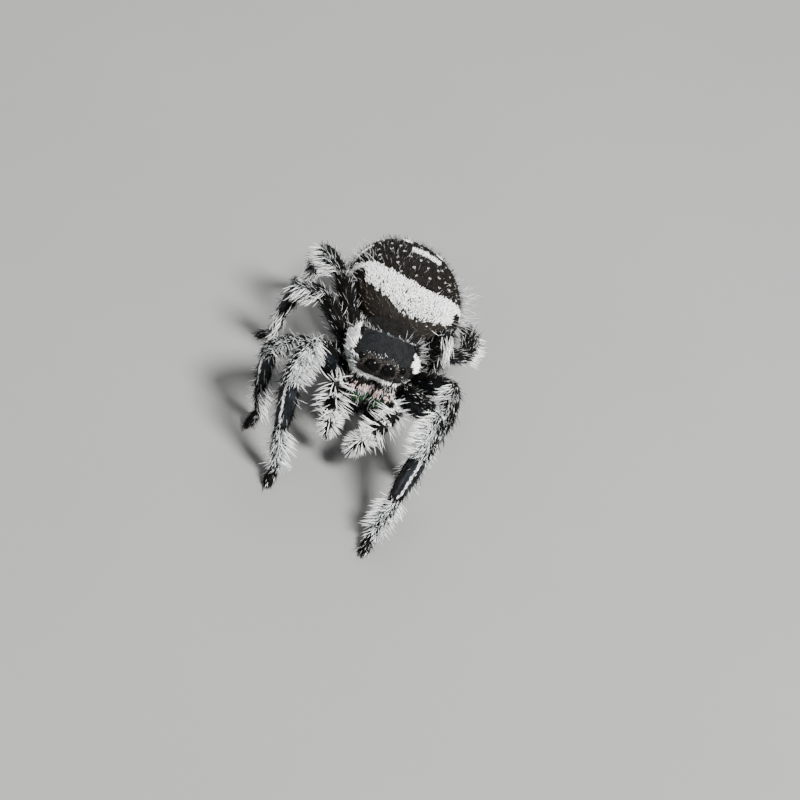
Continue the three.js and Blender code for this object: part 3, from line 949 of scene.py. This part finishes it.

# the coats; perArea is hairs per square millimetre where share is 1
# no black hair where the tibia's highlight is painted
legDark = isLeg * np.clip(1 - bare * 0.9 - tibiaHighlight, 0, 1)
fringe = (kinds == "patella") * ramp(front, 0.2, 0.6) + (kinds == "metatarsus") * 0.8
fringe = np.clip(fringe + (kinds == "tibia") * between(top, -0.8, -0.1) * 0.06, 0, 1)
hairyBack = isBelly * (1 - smoothFront) * (1 - band * 0.8)
flank = hairyBack * ramp(away, 2.5, 3.1) * (z > -1.2)
coats = {
    "Band": dict(
        hair="scale", finish="white", share=band + spotMarks,
        perArea=240, length=0.14, thick=0.052, lift=0.55, stray=0.5),
    "Dots": dict(
        hair="scale", finish="silver", share=dots,
        perArea=1300, length=0.065, thick=0.036, lift=0.8, stray=0.3),
    "Belly": dict(
        hair="fur", finish="sable", reach=1 - smoothFront * 0.5,
        share=isBelly * (1 - band - spotMarks - dots) * (1 - greyUnder * 0.6),
        perArea=230, length=0.18, thick=0.035, lift=0.2, stray=0.2),
    "Under": dict(
        hair="fur", finish="brown", share=greyUnder,
        perArea=90, length=0.26, thick=0.04, lift=0.3, stray=0.25),
    "Head": dict(
        hair="fur", finish="black", share=isHead * (1 - pale) * (1 - crown) * (1 - faceFur) + jawRoot,
        perArea=300, length=0.14, thick=0.03, lift=0.25, stray=0.25),
    "Crown": dict(
        hair="scale", finish="blue", share=crown * 0.8,
        perArea=360, length=0.09, thick=0.04, lift=0.15, stray=0.15),
    "HeadPatch": dict(
        hair="lock", finish="white", share=headPatch, reach=1 + 0.35 * (x < 0),
        perArea=340, length=0.26, thick=0.05, lift=0.9, stray=0.6),
    "Face": dict(
        hair="scale", finish="taupe", comb="ring",
        share=faceFur * 0.9 * (1 - eyeRing) * (1 - cheek * 0.7) * clearOfEyes,
        perArea=420, length=0.12, thick=0.03, lift=0.4, stray=0.3),
    "EyeRing": dict(
        hair="scale", finish="ring", share=eyeRing, comb="ring",
        perArea=420, length=0.1, thick=0.03, lift=0.3, stray=0.2),
    "Cheek": dict(
        hair="lock", finish="silver", share=cheek * ramp(fine, -0.25, 0.35), reach=1 + 0.8 * (x < 0),
        perArea=280, length=0.18, thick=0.036, lift=0.5, stray=0.4),
    "Moustache": dict(
        hair="lock", finish="white", share=moustache, comb="hang",
        reach=1 + ramp(away, 1.1, 1.6) * np.where(x < 0, 0.6, 0.9),
        perArea=760, length=0.31, thick=0.042, lift=0.75, stray=0.16),
    "Brow": dict(
        hair="scale", finish="pale", share=brow * 0.25 + rearHair,
        perArea=260, length=0.11, thick=0.022, lift=0.45, stray=0.6),
    "EyeTuft": dict(
        hair="bristle", finish="pale", share=eyeTuft, comb="upright",
        perArea=30, length=0.5, thick=0.019, lift=0.2, stray=0.3),
    "Jaw": dict(
        hair="scale", finish="pink", share=jawScales, comb="hang",
        perArea=320, length=0.15, thick=0.05, lift=0.5, stray=0.4),
    "JawHair": dict(
        hair="bristle", finish="pale", share=isJaw * ramp(top, -0.5, 0.2), comb="hang",
        perArea=24, length=0.32, thick=0.026, lift=0.5, stray=0.4),
    "JawEnd": dict(
        hair="bristle", finish="black", share=isJaw * ramp(share, 0.75, 0.95), comb="straight",
        perArea=170, length=0.75, thick=0.055, lift=0.3, stray=0.3),
    "JawGreen": dict(
        hair="scale", finish="green", share=jawGreen, comb="hang",
        perArea=200, length=0.14, thick=0.045, lift=0.5, stray=0.5),
    "LegBlack": dict(
        hair="fur", finish="black", share=legDark + isPalp * 0.9 + isSpinneret * 0.8,
        perArea=230, length=0.27, thick=0.034, lift=0.4, stray=0.3),
    "LegWhite": dict(
        hair="lock", finish="frost", share=whiteLeg * (legNumber == 0),
        perArea=250, length=0.36, thick=0.027, lift=0.35, stray=0.25),
    # painted shade: the hind legs' white hair takes the greyer silver finish because these legs lie in
    # shade; the same hair on the first legs is the brighter frost
    "HindLegWhite": dict(
        hair="lock", finish="silver", share=whiteLeg * (legNumber > 0),
        perArea=170, length=0.32, thick=0.026, lift=0.35, stray=0.25),
    # white scales that paint the highlight along the top of each tibia
    "TibiaLine": dict(
        hair="scale", finish="white", share=tibiaHighlight,
        perArea=460, length=0.18, thick=0.03, lift=0.15, stray=0.08),
    "Palp": dict(
        hair="bristle", finish="white", share=palpWhite * (1 - palpEnd), comb="fan",
        perArea=44, length=0.92, thick=0.048, uneven=0.25, lift=0.6, stray=0.18),
    "PalpEnd": dict(
        hair="bristle", finish="white", comb="fan",
        share=palpWhite * palpEnd, reach=1 - 0.4 * ramp(share, 0.6, 1.1),
        perArea=84, length=0.56, thick=0.04, uneven=0.2, lift=1.5, stray=0.2),
    "PalpKnot": dict(
        hair="lock", finish="white", share=palpKnot,
        perArea=400, length=0.22, thick=0.05, lift=1.6, stray=0.6),
    "Fringe": dict(
        hair="bristle", finish="white", share=fringe, comb="fan",
        perArea=46, length=0.74, thick=0.032, lift=0.1, stray=0.2),
    "LegSetae": dict(
        hair="bristle", finish="pale", share=isLeg * (1 - bare * 0.6),
        perArea=8, length=0.5, thick=0.02, lift=1.4, stray=0.4),
    "LegBristles": dict(
        hair="bristle", finish="black", share=isLeg * 0.9,
        perArea=16, length=0.45, thick=0.03, uneven=0.4, lift=1.2, stray=0.4),
    "BackSetae": dict(
        hair="bristle", finish="pale", share=hairyBack, comb="upright",
        perArea=4, length=0.34, thick=0.014, lift=0.2, stray=0.2),
    "BackBristles": dict(
        hair="bristle", finish="black", share=hairyBack, comb="upright",
        perArea=16, length=0.32, thick=0.02, uneven=0.4, lift=0.2, stray=0.3),
    "FlankSetae": dict(
        hair="bristle", finish="pale", share=flank, comb="upright", reach=1 - 0.45 * (x < 0),
        perArea=12, length=1.1, thick=0.034, uneven=0.35, lift=0.2, stray=0.25),
}
for seed, (name, coat) in enumerate(coats.items()):
    growCoat("coat" + name, seed + 1, **coat)
bpy.data.objects.remove(ground)
flesh = [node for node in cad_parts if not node.startswith(("eye_", "fang_"))]
pieces.append((skin, "coat_black", flesh))


def addPiece(name, shape, finish, slot, nodes=()):
    points, faces = shape
    piece = meshObject(name, points + standAt, faces)
    piece.data.materials.append(finish)
    pieces.append((piece, slot, list(nodes)))


for kind, eye in eyes.items():
    for side, sign in sides.items():
        centre = fromHead(mirrored(eye["at"], sign))
        addPiece(f"eye{kind.title()}{side.title()}", ellipsoid(centre, [eye["radius"]] * 3),
                 finishes["eye"], "eye", [f"eye_{kind}_{side}"])


fang = {"root": (0.78, -2.4, 2.5), "tip": (0.3, -2.2, 2.17), "bow": (0, -0.08, -0.06), "thick": 0.15}
claws = {"long": 0.3, "thick": 0.035, "bow": (0, 0, 0.07), "apart": 0.07, "drop": 0.1, "root": (0.05, 0.16)}


def hookShape(root, tip, bow, thick):
    # a tapered hook from root to tip
    root, tip, bow = np.array(root), np.array(tip), np.array(bow)
    axes = limbAxes(root, tip, bow)

    def place(t, c, s):
        step = (1 + t) / 2
        wide = thick * (1 - step * 0.85) * dome(t, 4)
        middle = root + (tip - root) * step[:, None] + bow * (4 * step * (1 - step))[:, None]
        return middle + axes[:, 0] * (c * wide)[:, None] + axes[:, 2] * (s * wide)[:, None]

    return pulled(place, *fineness["hook"])


for side, sign in sides.items():
    root, tip = mirrored(fang["root"], sign), mirrored(fang["tip"], sign)
    shape = hookShape(root, tip, fang["bow"], fang["thick"])
    addPiece("fang" + side.title(), shape, finishes["horn"], "horn", ["fang_" + side])

hooks = []
for ankle, toe in feet:
    ahead = toe - ankle
    ahead[2] = 0
    ahead /= np.linalg.norm(ahead)
    across = np.array([ahead[1], -ahead[0], 0])
    for turn in (-1, 1):
        past, high = claws["root"]
        root = toe - standAt + ahead * past + across * turn * claws["apart"] + np.array([0, 0, high])
        tip = root + ahead * claws["long"] - np.array([0, 0, claws["drop"]])
        hooks.append(hookShape(root, tip, claws["bow"], claws["thick"]))
addPiece("claws", joined(hooks), finishes["horn"], "horn")
print("eyes, fangs and claws")

for piece, slot, nodes in pieces:
    piece.data.transform(Matrix.Scale(metres, 4))
    piece.data.shade_smooth()
    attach(piece, "root")
    if nodes:
        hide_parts(*nodes)


stage = {  # in metres
    "flat": 0.3, "bend": 0.3, "wall": 0.5, "around": 96, "steps": 16, "fade": (0.08, 0.5),
    "sky": (0.9, 0.93, 1.0, 1), "skyStrength": 0.26,
}
lamps = {  # place, size, watts
    "key": ((0.11, -0.05, 0.20), 0.09, 2.7),
    "fill": ((-0.18, -0.16, 0.12), 0.18, 0.4),
    "back": ((-0.02, 0.2, 0.16), 0.14, 0.6),
}


def floorLook(sketch):
    cloud = grain(sketch, 60)
    place = sketch.add("ShaderNodeTexCoord", out=["Object"])[0]
    distance = sketch.add("ShaderNodeVectorMath", {0: place}, ["Value"], operation="LENGTH")[0]
    near = mixed(sketch, cloud, (0.15, 0.15, 0.147, 1), (0.14, 0.14, 0.137, 1))
    return {"Base Color": mixed(sketch, distance.above(*stage["fade"]), near, (0.8, 0.8, 0.79, 1)),
            "Roughness": 0.8 + cloud * 0.05}


def makeStage():
    # a floor that curves up into a wall all round
    bends = [(stage["flat"] + stage["bend"] * math.sin(turn), stage["bend"] * (1 - math.cos(turn)))
             for turn in np.linspace(0, math.pi / 2, stage["steps"])]
    profile = bends + [(stage["flat"] + stage["bend"], stage["wall"])]
    around = stage["around"]
    turns = [k / around * 2 * math.pi for k in range(around)]
    points = [(radius * math.cos(turn), radius * math.sin(turn), height)
              for radius, height in profile for turn in turns]
    faces = [(b, a, a + around, b + around) for a, b in ringEdges(len(profile) - 1, around)]
    floor = meshObject("floor", points, [tuple(range(around)), *faces])
    floor.data.shade_smooth()
    floor.data.materials.append(makeMaterial("floorPaper", dull, floorLook))
    world = bpy.data.worlds.new("softSky")
    world.use_nodes = True
    sky = world.node_tree.nodes["Background"]
    sky.inputs["Color"].default_value = stage["sky"]
    sky.inputs["Strength"].default_value = stage["skyStrength"]
    bpy.context.scene.world = world
    for name, (place, size, watts) in lamps.items():
        light = bpy.data.lights.new(name, "AREA")
        light.shape, light.size, light.energy = "DISK", size, watts
        lamp = addObject(name, light)
        lamp.location = place
        lamp.rotation_euler = (-Vector(place)).to_track_quat("-Z", "Y").to_euler()


camera = {  # degrees and millimetres; perMm, frame and eyesPixel are in pixels
    "turn": 4.5, "height": 42, "roll": 24, "distance": 110, "perMm": 18.5, "frame": 800, "sensor": 36.0,
    "eyesAt": (0.79, -3.02, 5.8), "eyesPixel": (379.6, 369),
}


def makeCamera():
    # aimed so that the middle between the main eyes falls on eyesPixel of the frame
    turn, height, roll = (math.radians(camera[key]) for key in ("turn", "height", "roll"))
    level = math.cos(height)
    back = Vector((-math.sin(turn) * level, -math.cos(turn) * level, math.sin(height)))
    right = Vector((math.cos(turn), -math.sin(turn), 0))
    rolled = Matrix.Rotation(roll, 3, back)
    right, up = rolled @ right, rolled @ back.cross(right)
    place = Vector(camera["eyesAt"]) + back * camera["distance"]
    half = camera["frame"] / 2
    aside = (half - camera["eyesPixel"][0]) / camera["perMm"]
    above = (camera["eyesPixel"][1] - half) / camera["perMm"]
    back = (place - Vector(camera["eyesAt"]) - right * aside - up * above).normalized()
    right = (right - back * right.dot(back)).normalized()
    data = bpy.data.cameras.new("camera")
    data.sensor_width = camera["sensor"]
    data.lens = camera["sensor"] * camera["perMm"] * camera["distance"] / camera["frame"]
    data.clip_start, data.clip_end = 0.001, 10
    axes = Matrix((right, back.cross(right), back)).transposed().to_4x4()
    made = bpy.context.scene.camera = addObject("camera", data)
    made.matrix_world = Matrix.Translation(place * metres) @ axes


makeStage()
makeCamera()
print("floor, lights and camera")
